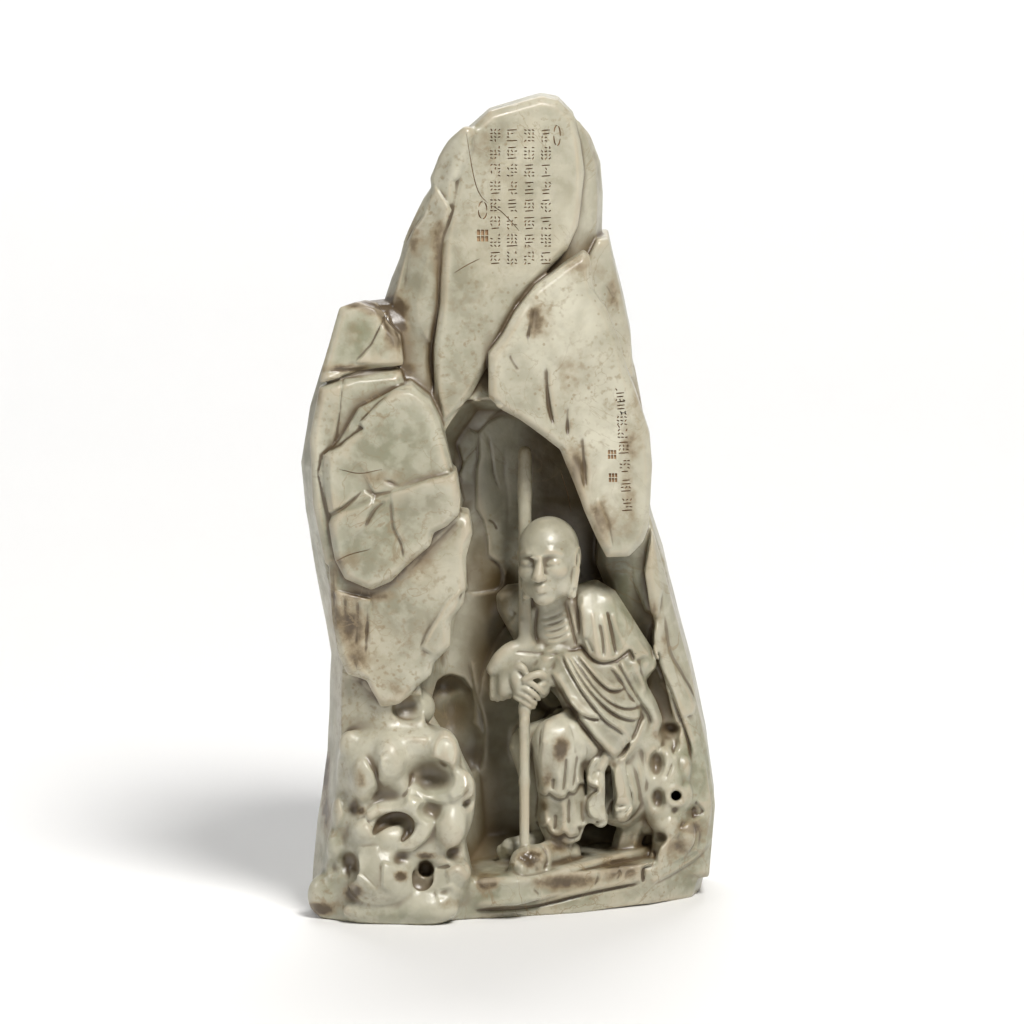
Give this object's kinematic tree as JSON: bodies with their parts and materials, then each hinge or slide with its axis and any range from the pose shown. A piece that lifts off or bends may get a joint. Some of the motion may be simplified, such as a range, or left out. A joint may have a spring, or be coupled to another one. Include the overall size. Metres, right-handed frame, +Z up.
{
  "type": "jade boulder carving",
  "caption": "Upright jade boulder carved as a rocky grotto, with an old pilgrim seated under the overhang and leaning on a staff.",
  "frame": {"origin": "centre of the footprint of the whole stone, on the surface that it stands on", "axes": "+Z up; +X along the long side of the base, to the right as seen from the carved front; -Y out of the carved front"},
  "size_m": [0.1414, 0.064, 0.252],
  "materials": {
    "jade": "polished pale grey-green jade with warm brown staining in its cracks and rims"
  },
  "bodies": {
    "root": {"jade_boulder": "jade"}
  },
  "joints": []
}
